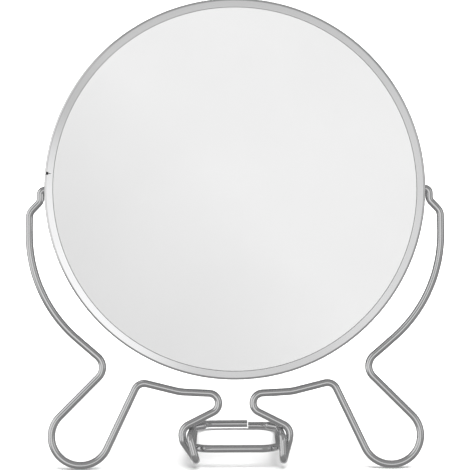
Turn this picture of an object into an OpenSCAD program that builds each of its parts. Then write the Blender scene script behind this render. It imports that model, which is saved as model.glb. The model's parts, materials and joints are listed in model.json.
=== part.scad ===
// Round two-sided mirror in a folding wire stand.
// X runs across the mirror, -Y is the front, +Z is up, and the table is Z = 0.
// Stand coordinates are [x, depth, height]: x across, depth backwards and
// height up along the leaning stand, all counted from the pivot axis.

/* [Mirror head] */
// Outer diameter of the metal band
band_d = 170; // [168:0.5:171]
// Depth of the band from front to back
band_depth = 10; // [9.5:0.1:12]
// Sheet thickness of the band
sheet = 0.4; // [0.3:0.05:0.5]
// Width of the flat lip over each glass
lip_w = 3.8; // [3:0.1:4.5]
// Rounding of the band's outer edges
edge_r = 1; // [0.7:0.1:1.2]
// Thickness of both glasses
glass_t = 2; // [1.8:0.1:2.2]
// How far the magnifying glass dishes in at its middle
dish = 3; // [2:0.1:3.4]
// Angle of the band's joint above the left pivot
joint_angle = 5.2; // [5:0.1:7]

/* [Wire] */
// Diameter of the stand's wire
wire_d = 3.4; // [3.2:0.05:3.5]
// Radial clearance of the pivot pins
pin_clearance = 0.05; // [0.02:0.01:0.1]

/* [Stand] */
// Backwards lean of the stand and the mirror at rest
lean = 10; // [6:0.5:12]
// Sideways distance of the crank that hugs the band
crank_x = 86.95; // [86.95:0.05:87.5]
// Sideways distance of the wire beside the mirror
side_x = 92.4; // [91.5:0.1:94]
// Height of the foot's centre line, below the pivot axis
foot_h = -123.5; // [-126:0.5:-122]
// Bend radius of the round foot
foot_r = 12.9; // [11:0.1:12.9]
// Sideways distance of the left eye's bottom
left_eye_x = 17.9; // [17.9:0.1:21.4]
// Sideways distance of the left eye's top
left_eye_top_x = 20.6; // [20.4:0.1:21]
// Sideways distance of the right eye's bottom
right_eye_x = 21.2; // [17.8:0.1:21.4]
// Sideways distance of the right eye's top
right_eye_top_x = 20.9; // [20.4:0.1:21]

/* [Prop link] */
// Width of the link between the centres of its side bars
link_w = 39.2; // [38:0.1:39.2]
// Length of the link from its front bar to its rear bar
link_l = 64; // [50:1:75]
// Bend radius of the link's corners
link_r = 9; // [8.8:0.1:9]
// Height of the link's front bar, below the pivot axis
link_h = -116.3; // [-116.6:0.1:-116]
// Where the two ends of the link's wire meet, sideways
butt_x = 5.6; // [-8:0.1:8]
// How far one end of the link's wire stands above the other
butt_step = 0.9; // [0:0.1:1.2]

/* [Hidden] */
$fn = 96;

wire_r = wire_d / 2;
hair = 0.01;                        // how much thinner a bar's radius is than a bend's
run_in = 0.15;                      // how far a bar runs into a bend
band_r = band_d / 2;
half_depth = band_depth / 2;
face = half_depth - sheet;          // inner side of each lip
fit_gap = 0.05;                     // loose fit between stacked pieces
glass_r = band_r - sheet - 0.5;
coat_t = 0.1;
coat_margin = 0.5;                  // bare rim of glass round each coating
card_t = 0.8;
card_r = glass_r - 1.2;
spacer_w = 4.2;
dish_r = (glass_r * glass_r + dish * dish) / (2 * dish);
dish_centre = face - fit_gap - dish + dish_r;
fine = 720;                         // facets of a very large circle

pivot_z = -foot_h * cos(lean) + wire_r;
link_z = pivot_z + link_h * cos(lean);
link_drop = asin((link_z - wire_r) / link_l);

// The front end of the eyes and the back of the link set the middle of the base.
eye_depth = -3.7;
eye_h = -121.3;
eye_r = 3;
front_y = (eye_depth + eye_r) * cos(lean) + (eye_h + eye_r) * sin(lean) - eye_r - wire_r;
rear_y = link_h * sin(lean) + link_l * cos(link_drop) + wire_r;
pivot_y = -(front_y + rear_y) / 2;

function unit(v) = v / norm(v);
function turn(a, b, c) = acos(max(-1, min(1, unit(b - a) * unit(c - b))));
function lead(p, r, i) =
    i == 0 || i == len(p) - 1 ? 0 : r[i] * tan(turn(p[i - 1], p[i], p[i + 1]) / 2);

// A straight round bar from a to b. It is a hair thinner than the bends, so that they join cleanly.
module bar(a, b, domed) {
    v = b - a;
    translate(a)
        rotate([0, acos(v.z / norm(v)), atan2(v.y, v.x)]) {
            cylinder(h = norm(v), d = wire_d - 2 * hair);
            if (domed)
                translate([0, 0, norm(v)])
                    sphere(d = wire_d);
        }
}

// A round bend that starts at a heading along u, turns towards v, and has its corner at p.
module bend(p, u, v, r, angle) {
    along = unit(u);
    inward = unit(v - (v * along) * along);
    axis = cross(-inward, along);
    centre = p - along * r * tan(angle / 2) + inward * r;
    multmatrix([
        [-inward.x, along.x, axis.x, centre.x],
        [-inward.y, along.y, axis.y, centre.y],
        [-inward.z, along.z, axis.z, centre.z],
        [0, 0, 0, 1]])
        rotate_extrude(angle = angle)
            translate([r, 0])
                circle(d = wire_d);
}

// One wire through corner points p, with a bend radius r at each corner.
// Each bar runs a little way into the bends at its ends. The last end may be domed.
module bent_wire(p, r, domed = false) {
    last = len(p) - 1;
    for (i = [0 : last - 1]) {
        along = unit(p[i + 1] - p[i]);
        from = i == 0 ? 0 : lead(p, r, i) - run_in;
        to = i + 1 == last ? 0 : lead(p, r, i + 1) - run_in;
        bar(p[i] + along * from, p[i + 1] - along * to, domed && i + 1 == last);
    }
    for (i = [1 : last - 1])
        bend(p[i], p[i] - p[i - 1], p[i + 1] - p[i], r[i], turn(p[i - 1], p[i], p[i + 1]));
}

// Puts stand coordinates in place on the table.
module on_stand() {
    translate([0, pivot_y, pivot_z])
        rotate([-lean, 0, 0])
            children();
}

// Turns a shape of [radius, depth] about the mirror's own axis.
module about_mirror() {
    on_stand()
        rotate([-90, 0, 0])
            rotate_extrude()
                children();
}

// Section of the band: a channel with a lip over each glass.
module band_section() {
    lip_r = band_r - lip_w;
    soft = edge_r - sheet;
    difference() {
        union() {
            translate([lip_r, -half_depth])
                square([lip_w - edge_r, band_depth]);
            translate([lip_r, edge_r - half_depth])
                square([lip_w, band_depth - 2 * edge_r]);
            for (side = [-1, 1])
                translate([band_r - edge_r, side * (half_depth - edge_r)])
                    circle(r = edge_r);
        }
        translate([0, -face])
            square([band_r - edge_r, 2 * face]);
        translate([0, edge_r - half_depth])
            square([band_r - sheet, band_depth - 2 * edge_r]);
        for (side = [-1, 1])
            translate([band_r - edge_r, side * (half_depth - edge_r)])
                circle(r = soft);
    }
}

module frame_band() {
    split_w = 0.3;
    notch = [1.7, 1.1, 1.3];
    tab_slot = [3, 4.2, 0.5];
    tab_angle = 2.7;
    color("gainsboro")
        difference() {
            about_mirror()
                band_section();
            on_stand() {
                rotate([0, 90, 0])
                    cylinder(h = 2 * band_d, r = wire_r + pin_clearance, center = true);
                rotate([0, joint_angle, 0]) {
                    translate([-band_r - 1, -band_depth, -split_w / 2])
                        cube([lip_w + 2, 2 * band_depth, split_w]);
                    translate([-band_r - 1, -half_depth - 1, -notch.z / 2])
                        cube([notch.x + 1, notch.y + 1, notch.z]);
                }
                rotate([0, joint_angle + tab_angle, 0])
                    translate([-band_r, -face + 1, 0])
                        cube([tab_slot.x, tab_slot.z, tab_slot.y], center = true);
            }
        }
}

// Curved strip inside the band that joins its two ends.
module joint_strip() {
    strip_r = band_r - sheet - fit_gap;
    strip_t = 0.35;
    strip_depth = 7.6;
    strip_start = 2.6;
    strip_angle = 7.4;
    color("silver")
        on_stand()
            rotate([0, 180 + strip_start, 0])
                rotate([90, 0, 0])
                    translate([0, 0, -strip_depth / 2])
                        rotate_extrude(angle = -strip_angle)
                            translate([strip_r - strip_t, 0])
                                square([strip_t, strip_depth]);
}

module front_glass() {
    color("whitesmoke")
        about_mirror()
            translate([0, -face + fit_gap])
                square([glass_r, glass_t]);
}

module front_coating() {
    color("slategray")
        about_mirror()
            translate([0, -face + fit_gap + glass_t])
                square([glass_r - coat_margin, coat_t]);
}

module backing_card() {
    color("tan")
        about_mirror()
            translate([0, -face + 2 * fit_gap + glass_t + coat_t])
                square([card_r - spacer_w, card_t]);
}

// Card ring that keeps the glasses apart and leaves room for the pins.
module rim_spacer() {
    inner_r = card_r - spacer_w;
    low = -face + 2 * fit_gap + glass_t + coat_t;
    high = dish_centre - sqrt(pow(dish_r + glass_t + coat_t, 2) - inner_r * inner_r) - fit_gap;
    relief = [2 * spacer_w + 4, 3 * wire_d, 3 * wire_d];
    color("tan")
        difference() {
            about_mirror()
                translate([inner_r + fit_gap, low])
                    square([spacer_w, high - low]);
            on_stand()
                for (side = [-1, 1])
                    translate([side * card_r, 0, 0])
                        cube(relief, center = true);
        }
}

// Section of one layer of the dished glass: how deep it starts, how thick it is, how wide.
module dished_layer(start, thick, r) {
    intersection() {
        translate([0, -half_depth])
            square([r, half_depth + face - fit_gap]);
        translate([0, dish_centre])
            difference() {
                circle(r = dish_r + start + thick, $fn = fine);
                circle(r = dish_r + start, $fn = fine);
            }
    }
}

module rear_glass() {
    color("whitesmoke")
        about_mirror()
            dished_layer(0, glass_t, glass_r);
}

module rear_coating() {
    color("slategray")
        about_mirror()
            dished_layer(glass_t, coat_t, glass_r - coat_margin);
}

// Corner points of the right leg's wire, from the pin's inner end to the end past the eye.
function leg_points(eye_x, top_x) = [
    [79.5, 0, 0],                   // pin, inside the band
    [crank_x, 0, 0],                // crank, hugging the band
    [crank_x, 0, -5],
    [91.9, 0, -10.2],
    [side_x, 0, -48],               // long sweep round the mirror
    [56.6, 0, -79.1],               // knee
    [101, 0, foot_h],               // round foot
    [61.4, 0, foot_h],
    [43.5, 0, -86],                 // peak beside the foot
    [25, 0, -90.6],
    [7.75, 0, -91.5],               // hook under the mirror
    [7.75, 0, -98.6],
    [24.6, 0, -107.1],              // turn into the eye
    [23.7, 0, -113],                // outside the link's corner
    [eye_x + 0.3, 3.4, eye_h],      // under the link
    [eye_x, eye_depth, eye_h],      // up in front of the link
    [top_x, eye_depth, -110.9],     // over the link's front bar
    [19, 3.7, -106.9],
    [14.6, 3.7, -106.2]];           // end of the wire

leg_bends = [0, 1.9, 3, 5, 61.5, 6.5, foot_r, foot_r, 4.5, 20, 4.4, 4.4, 5, 3.2, 2.4, eye_r, 2.4, 2, 0];

module leg(eye_x, top_x) {
    on_stand()
        bent_wire(leg_points(eye_x, top_x), leg_bends, domed = true);
}

module left_leg() {
    color("darkgray")
        mirror([1, 0, 0])
            leg(left_eye_x, left_eye_top_x);
}

module right_leg() {
    color("darkgray")
        leg(right_eye_x, right_eye_top_x);
}

// Rectangle of wire whose front bar runs through both eyes. Its ends meet in the rear bar.
module prop_link() {
    x = link_w / 2;
    butt_gap = 0.15;
    color("darkgray")
        translate([0, pivot_y + link_h * sin(lean), link_z])
            rotate([-link_drop, 0, 0])
                bent_wire([
                    [butt_x - butt_gap, link_l, butt_step],
                    [-x, link_l, butt_step],
                    [-x, 0, 0],
                    [x, 0, 0],
                    [x, link_l, 0],
                    [butt_x + butt_gap, link_l, 0]],
                    [0, link_r, link_r, link_r, link_r, 0]);
}

frame_band();
joint_strip();
front_glass();
front_coating();
backing_card();
rim_spacer();
rear_glass();
rear_coating();
left_leg();
right_leg();
prop_link();
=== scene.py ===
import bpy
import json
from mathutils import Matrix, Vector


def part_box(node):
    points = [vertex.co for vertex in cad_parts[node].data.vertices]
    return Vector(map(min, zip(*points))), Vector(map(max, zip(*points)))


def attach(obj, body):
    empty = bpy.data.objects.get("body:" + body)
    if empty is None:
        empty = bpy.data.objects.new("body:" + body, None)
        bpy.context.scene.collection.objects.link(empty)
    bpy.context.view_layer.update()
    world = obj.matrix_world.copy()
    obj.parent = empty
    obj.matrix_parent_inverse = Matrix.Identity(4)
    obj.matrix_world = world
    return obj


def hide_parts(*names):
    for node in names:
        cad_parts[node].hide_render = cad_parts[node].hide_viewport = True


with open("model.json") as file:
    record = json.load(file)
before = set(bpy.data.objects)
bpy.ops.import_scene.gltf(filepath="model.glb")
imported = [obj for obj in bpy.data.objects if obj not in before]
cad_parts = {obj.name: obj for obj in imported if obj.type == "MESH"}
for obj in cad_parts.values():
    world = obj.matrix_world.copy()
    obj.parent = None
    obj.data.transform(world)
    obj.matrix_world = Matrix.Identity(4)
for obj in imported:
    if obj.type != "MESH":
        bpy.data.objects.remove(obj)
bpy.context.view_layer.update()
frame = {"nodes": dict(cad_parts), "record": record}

import json
import math

import bpy
from mathutils import Matrix, Quaternion, Vector

NODES = frame["nodes"]
MM = 0.001
LEAN = math.radians(10)            # how far the mirror leans back

# Camera. Its lens is in millimetres, and the other lengths are in metres.
CAMERA_RISE = math.radians(11.3)   # its height above the horizon
CAMERA_ROLL = math.radians(-0.28)
CAMERA_FAR = 1.1
CAMERA_LENS = 50
VIEW_WIDTH = 0.2103                # what the view takes in at the mirror
VIEW_DROP = 0.0204                 # view's middle, below the mirror's middle

# Mirror glasses, in millimetres. Depths are measured from the middle of the band.
LATHE_SIDES = 256
CREASE = math.radians(25)          # a sharper turn than this is shaded as an edge
GLASS_RADIUS = 84.1
GLASS_FACE = 4.55                  # depth of each glass's outer face, at its rim
GLASS_THICK = 2.0
GLASS_SOFTEN = 0.25                # softened edge of the flat glass
COAT_THICK = 0.1
COAT_RADIUS = GLASS_RADIUS - 0.5
LAYER_GAP = 0.02                   # keeps a glass clear of its coating
HIDDEN_RING = 1.6                  # rim of the glass under the band's lip, with near-black painted shade for the dark hollow seen through the band's notch and split
DISH = 3.0                         # how deep the rear glass is hollowed
DISH_RADIUS = (GLASS_RADIUS ** 2 + DISH ** 2) / (2 * DISH)
DISH_CENTRE = GLASS_FACE - DISH + DISH_RADIUS
DISH_STEPS = 24

LIP_SLOPE = 0.075                  # how steeply the flat lip is shaded as falling to its outer edge


# ---- node helpers -------------------------------------------------------

def new_material(name):
    """An empty node material, its node tree and its output node."""
    material = bpy.data.materials.new(name)
    material.use_nodes = True
    tree = material.node_tree
    tree.nodes.clear()
    out = tree.nodes.new("ShaderNodeOutputMaterial")
    return material, tree, out


def add(tree, kind, settings=None, **inputs):
    """A node of that kind. Each input is a number or another node's output, and is named as its socket is,
    with _ for a space, or by i and the socket's number."""
    node = tree.nodes.new(kind)
    for key, value in (settings or {}).items():
        setattr(node, key, value)
    for key, value in inputs.items():
        numbered = key[0] == "i" and key[1:].isdigit()
        socket = node.inputs[int(key[1:]) if numbered else key.replace("_", " ")]
        if isinstance(value, bpy.types.NodeSocket):
            tree.links.new(value, socket)
        else:
            socket.default_value = value
    return node


def ramp(tree, factor, stops):
    """A soft grey ramp with stops of (place, grey)."""
    node = add(tree, "ShaderNodeValToRGB", Fac=factor)
    band = node.color_ramp
    band.interpolation = "EASE"
    while len(band.elements) < len(stops):
        band.elements.new(0.5)
    for element, (place, grey) in zip(band.elements, stops):
        element.position = place
        element.color = (grey, grey, grey, 1)
    return node.outputs["Color"]


def math_node(tree, operation, a, b):
    """The result of one sum on two numbers or outputs."""
    return add(tree, "ShaderNodeMath", {"operation": operation}, i0=a, i1=b).outputs[0]


def noise(tree, scale, detail, **inputs):
    """Grey noise fixed to the object, of that many grains to the metre."""
    place = add(tree, "ShaderNodeTexCoord").outputs["Object"]
    return add(tree, "ShaderNodeTexNoise", Vector=place, Scale=scale, Detail=detail, **inputs).outputs["Fac"]


# ---- mirror glasses -----------------------------------------------------

def mirror_place():
    """Turns a point of (across, depth back, height) about the head's pivot into its place on the table."""
    joint = next(j for j in frame["record"]["behaviour"]["joints"] if j["name"] == "head_tilt")
    return Matrix.Translation(joint["pos_m"]) @ Matrix.Rotation(-LEAN, 4, "X")


def lathe(name, outline, node, material, edge=None):
    """A round piece from an outline of (radius, depth) in mm, which starts and ends on the mirror's axis.
    It stands for that CAD node. edge is the material of its outer edge, a near-black painted shade."""
    place = mirror_place()
    points, faces, rings = [], [], []
    for radius, depth in outline:
        count = 1 if radius == 0 else LATHE_SIDES
        rings.append(range(len(points), len(points) + count))
        for i in range(count):
            angle = 2 * math.pi * i / count
            across = Vector((radius * math.cos(angle), depth, radius * math.sin(angle)))
            points.append(place @ (across * MM))
    for a, b in zip(rings, rings[1:]):
        for i in range(LATHE_SIDES):
            j = (i + 1) % LATHE_SIDES
            if len(a) == 1:
                faces.append((a[0], b[i], b[j]))
            elif len(b) == 1:
                faces.append((a[i], b[0], a[j]))
            else:
                faces.append((a[i], b[i], b[j], a[j]))
    mesh = bpy.data.meshes.new(name)
    mesh.from_pydata(points, [], faces)
    mesh.shade_smooth()
    mesh.set_sharp_from_angle(angle=CREASE)
    mesh.materials.append(material)
    if edge:
        mesh.materials.append(edge)
        # the outer rim rows get the near-black painted shade, which stands in for the dark hollow seen
        # through the band's notch and split
        bare = GLASS_RADIUS - HIDDEN_RING
        rim_shade_rows = [min(a[0], b[0]) >= bare for a, b in zip(outline, outline[1:])]
        for face in mesh.polygons:
            face.material_index = int(rim_shade_rows[face.index // LATHE_SIDES])
    piece = bpy.data.objects.new(name, mesh)
    bpy.context.scene.collection.objects.link(piece)
    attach(piece, "mirror_head")
    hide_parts(node)


def disc(front, back, radius):
    """Outline of a flat disc."""
    return [(0, front), (radius, front), (radius, back), (0, back)]


def flat_glass(front, back, radius):
    """Outline of a flat disc with softened edges, and a ring on its front that a lip hides."""
    return [
        (0, front),
        (radius - HIDDEN_RING, front),
        (radius - GLASS_SOFTEN, front),
        (radius, front + GLASS_SOFTEN),
        (radius, back - GLASS_SOFTEN),
        (radius - GLASS_SOFTEN, back),
        (0, back),
    ]


def bowl(start, thick, radius):
    """Outline of one layer of the dished glass, which is hollow towards the back.
    start is how far inside the glass's outer face the layer begins."""
    def depth(at, offset):
        ball = DISH_RADIUS + offset
        return DISH_CENTRE - math.sqrt(ball * ball - at * at)
    rows = [radius * i / DISH_STEPS for i in range(DISH_STEPS + 1)]
    front = [(at, depth(at, start + thick)) for at in rows]
    back = [(at, depth(at, start)) for at in reversed(rows)]
    return front + back


def mirror_glasses(glass, silver, edge):
    """Both glasses, each with its coating on the inner side."""
    coat = -GLASS_FACE + GLASS_THICK
    front_glass = flat_glass(-GLASS_FACE, coat - LAYER_GAP, GLASS_RADIUS)
    front_coat = disc(coat, coat + COAT_THICK, COAT_RADIUS)
    rear_glass = bowl(0, GLASS_THICK - LAYER_GAP, GLASS_RADIUS)
    rear_coat = bowl(GLASS_THICK, COAT_THICK, COAT_RADIUS)
    lathe("front_mirror_glass", front_glass, "front_glass", glass, edge)
    lathe("front_silvering", front_coat, "front_coating", silver)
    lathe("rear_mirror_glass", rear_glass, "rear_glass", glass, edge)
    lathe("rear_silvering", rear_coat, "rear_coating", silver)


# ---- materials ----------------------------------------------------------

def metal(name, colour, rough_low, rough_high, grain=900, bump=0.02, tint=0.04, cone=0.0):
    """Metal whose roughness, tone and surface vary finely, as on drawn wire and rolled sheet.
    cone is how steeply it is shaded as falling away from the mirror's middle."""
    material, tree, out = new_material(name)
    fine = noise(tree, grain, 4.0, Roughness=0.6)
    broad = noise(tree, 60.0, 3.0, Roughness=0.5)
    rough = add(tree, "ShaderNodeMapRange", i0=broad, i1=0.3, i2=0.7, i3=rough_low, i4=rough_high).outputs[0]
    dark = tuple(c * (1 - tint) for c in colour)
    tone = add(tree, "ShaderNodeMix", {"data_type": "RGBA"}, Factor=broad)
    tone.inputs[6].default_value = (*colour, 1)
    tone.inputs[7].default_value = (*dark, 1)
    relief = add(tree, "ShaderNodeBump", Strength=bump, Distance=0.0002, Height=fine).outputs[0]
    if cone:
        place = add(tree, "ShaderNodeTexCoord").outputs["Object"]
        reach = add(tree, "ShaderNodeVectorMath", {"operation": "DISTANCE"}, i0=place)
        reach.inputs[1].default_value = mirror_place().translation
        height = math_node(tree, "MULTIPLY", reach.outputs["Value"], -cone)
        fall = add(tree, "ShaderNodeBump", Strength=1.0, Distance=1.0, Height=height, Normal=relief)
        relief = fall.outputs[0]
    shader = add(tree, "ShaderNodeBsdfPrincipled", Base_Color=tone.outputs[2], Metallic=1.0, Roughness=rough,
                 Normal=relief)
    tree.links.new(shader.outputs[0], out.inputs[0])
    return material


def clear_glass(name):
    """Clear glass with faint patches of haze."""
    material, tree, out = new_material(name)
    haze = noise(tree, 35.0, 5.0, Roughness=0.6)
    rough = add(tree, "ShaderNodeMapRange", i0=haze, i1=0.45, i2=0.8, i3=0.0, i4=0.012).outputs[0]
    shader = add(tree, "ShaderNodeBsdfPrincipled", Base_Color=(0.992, 0.992, 0.992, 1), Roughness=rough,
                 IOR=1.5, Transmission_Weight=1.0)
    tree.links.new(shader.outputs[0], out.inputs[0])
    return material


def silvering(name):
    """The mirror's reflecting coat, a little uneven in tone."""
    material, tree, out = new_material(name)
    tone = ramp(tree, noise(tree, 18.0, 3.0), [(0.3, 0.93), (0.7, 0.95)])
    shader = add(tree, "ShaderNodeBsdfPrincipled", Base_Color=tone, Metallic=1.0, Roughness=0.0)
    tree.links.new(shader.outputs[0], out.inputs[0])
    return material


def board_like(name, dark, pale):
    """A dull material with a fine mottle between two colours, for board and for the near-black painted shade
    on the glass rims.
    """
    material, tree, out = new_material(name)
    fibre = noise(tree, 700.0, 5.0, Roughness=0.7)
    tone = add(tree, "ShaderNodeMix", {"data_type": "RGBA"}, Factor=fibre)
    tone.inputs[6].default_value = (*dark, 1)
    tone.inputs[7].default_value = (*pale, 1)
    relief = add(tree, "ShaderNodeBump", Strength=0.3, Distance=0.0002, Height=fibre).outputs[0]
    shader = add(tree, "ShaderNodeBsdfPrincipled", Base_Color=tone.outputs[2], Roughness=0.9, Normal=relief)
    tree.links.new(shader.outputs[0], out.inputs[0])
    return material


def dress(node, material):
    """Gives a CAD node that material alone."""
    mesh = NODES[node].data
    mesh.materials.clear()
    mesh.materials.append(material)


def dress_all():
    wire = metal("drawn_wire", (0.74, 0.74, 0.745), 0.10, 0.17)
    band = metal("band_sheet", (0.92, 0.92, 0.925), 0.05, 0.10, grain=1500, bump=0.01, tint=0.02,
                 cone=LIP_SLOPE)
    strip = metal("joint_sheet", (0.10, 0.10, 0.105), 0.35, 0.55)
    glass = clear_glass("mirror_glass")
    silver = silvering("silver_coat")
    board = board_like("grey_board", (0.42, 0.37, 0.30), (0.58, 0.53, 0.45))
    # near-black painted shade for the glass rims, standing in for the dark hollow seen through the band's
    # notch and split
    edge = board_like("glass_rim_painted_shade", (0.03, 0.03, 0.03), (0.07, 0.07, 0.07))
    for node in ("left_leg", "right_leg", "prop_link"):
        dress(node, wire)
    dress("frame_band", band)
    dress("joint_strip", strip)
    mirror_glasses(glass, silver, edge)
    for node in ("backing_card", "rim_spacer"):
        dress(node, board)


# ---- studio -------------------------------------------------------------

def studio_world():
    """Grey studio: a pale card in front of the mirror, soft boxes at the left, lower left and right, and a
    dim glow low behind, for the back of the object. The card and the room fade towards the lower left."""
    world = bpy.data.worlds.new("studio")
    bpy.context.scene.world = world
    world.use_nodes = True
    tree = world.node_tree
    tree.nodes.clear()
    out = tree.nodes.new("ShaderNodeOutputWorld")
    way = add(tree, "ShaderNodeTexCoord").outputs["Generated"]

    def along(x, y, z):
        """How far each direction runs along that one."""
        dot = add(tree, "ShaderNodeVectorMath", {"operation": "DOT_PRODUCT"}, i0=way)
        dot.inputs[1].default_value = (x, y, z)
        return dot.outputs["Value"]

    def facing(x, y, z, stops):
        """Light round that direction, with stops of (at(degrees off it), brightness)."""
        half = math_node(tree, "MULTIPLY", along(*Vector((x, y, z)).normalized()), 0.5)
        return ramp(tree, math_node(tree, "ADD", half, 0.5), stops)

    def at(degrees):
        return 0.5 + 0.5 * math.cos(math.radians(degrees))

    shades = [(at(160), 0.22), (at(110), 0.27), (at(60), 0.34), (at(18), 0.34), (at(8), 0.934)]
    room = facing(0, -1, 0.148, shades)
    left = facing(-1, -0.25, 0.25, [(at(42), 0.0), (at(28), 0.6)])
    low_left = facing(-0.34, -0.94, -0.01, [(at(18), 0.0), (at(10), 0.4)])
    right = facing(1, -0.5, 0.3, [(at(24), 0.0), (at(14), 0.3)])
    backwards = add(tree, "ShaderNodeMapRange", i0=along(0, 1, 0), i1=0.2, i2=0.6, i3=0.0, i4=0.45)
    low = add(tree, "ShaderNodeMapRange", i0=along(0, 0, 1), i1=-0.6, i2=-0.2, i3=1.0, i4=0.0)
    behind = math_node(tree, "MULTIPLY", backwards.outputs[0], low.outputs[0])
    up_right = along(0.72, 0, 0.69)
    fall = add(tree, "ShaderNodeMapRange", i0=up_right, i1=0.0365, i2=0.1165, i3=0.838, i4=1.0)
    faded = add(tree, "ShaderNodeVectorMath", {"operation": "SCALE"}, i0=room, Scale=fall.outputs[0])
    total = faded.outputs[0]
    for light in (left, low_left, right, behind):
        both = add(tree, "ShaderNodeVectorMath", {"operation": "ADD"}, i0=total, i1=light)
        total = both.outputs[0]
    background = add(tree, "ShaderNodeBackground", Color=total, Strength=1.0)
    tree.links.new(background.outputs[0], out.inputs[0])


def soft_box(name, place, target, size, power):
    """A square lamp that lights the scene and isn't itself reflected."""
    data = bpy.data.lights.new(name, "AREA")
    data.shape = "SQUARE"
    data.size = size
    data.energy = power
    lamp = bpy.data.objects.new(name, data)
    bpy.context.scene.collection.objects.link(lamp)
    lamp.location = place
    lamp.rotation_euler = (Vector(target) - Vector(place)).to_track_quat("-Z", "Y").to_euler()
    lamp.visible_glossy = False


def sweep_floor():
    """Pale floor that curves up into a backdrop, kept out of what metal and glass show."""
    width, front, back, height, bend = 6.0, -3.0, 2.2, 3.0, 0.8
    steps = 12
    outline = [(front, 0.0), (back - bend, 0.0)]
    for i in range(1, steps + 1):
        turn = math.radians(90 * i / steps)
        outline.append((back - bend + bend * math.sin(turn), bend - bend * math.cos(turn)))
    outline.append((back, height))
    points = [(side * width / 2, y, z) for y, z in outline for side in (-1, 1)]
    faces = [(2 * i, 2 * i + 1, 2 * i + 3, 2 * i + 2) for i in range(len(outline) - 1)]
    mesh = bpy.data.meshes.new("floor")
    mesh.from_pydata(points, [], faces)
    mesh.shade_smooth()
    floor = bpy.data.objects.new("floor", mesh)
    bpy.context.scene.collection.objects.link(floor)
    material, tree, out = new_material("pale_floor")
    tone = ramp(tree, noise(tree, 3.0, 2.0), [(0.3, 0.90), (0.7, 0.92)])
    shader = add(tree, "ShaderNodeBsdfPrincipled", Base_Color=tone, Roughness=0.9, Specular_IOR_Level=0.2)
    tree.links.new(shader.outputs[0], out.inputs[0])
    mesh.materials.append(material)
    floor.visible_glossy = False
    floor.visible_transmission = False


def camera():
    """A camera in front of the mirror and a little above the horizon, aimed just below its middle."""
    low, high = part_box("frame_band")
    middle = (low + high) / 2
    down = Vector((0, -math.sin(LEAN), -math.cos(LEAN)))
    target = middle + down * VIEW_DROP
    back = Vector((0, -math.cos(CAMERA_RISE), math.sin(CAMERA_RISE)))
    data = bpy.data.cameras.new("camera")
    data.lens = CAMERA_LENS
    data.sensor_width = CAMERA_LENS * VIEW_WIDTH / CAMERA_FAR
    data.clip_start = 0.01
    eye = bpy.data.objects.new("camera", data)
    bpy.context.scene.collection.objects.link(eye)
    eye.location = target + back * CAMERA_FAR
    eye.rotation_euler = ((-back).to_track_quat("-Z", "Y") @ Quaternion((0, 0, 1), CAMERA_ROLL)).to_euler()
    bpy.context.scene.camera = eye


bpy.context.scene.view_settings.view_transform = "Standard"
dress_all()
studio_world()
sweep_floor()
soft_box("overhead", (0.3, -0.2, 1.8), (0, 0.3, 0), 2.0, 60)
soft_box("backdrop_wash", (0, 0.2, 1.4), (0, 2.2, 0.8), 1.6, 40)
camera()
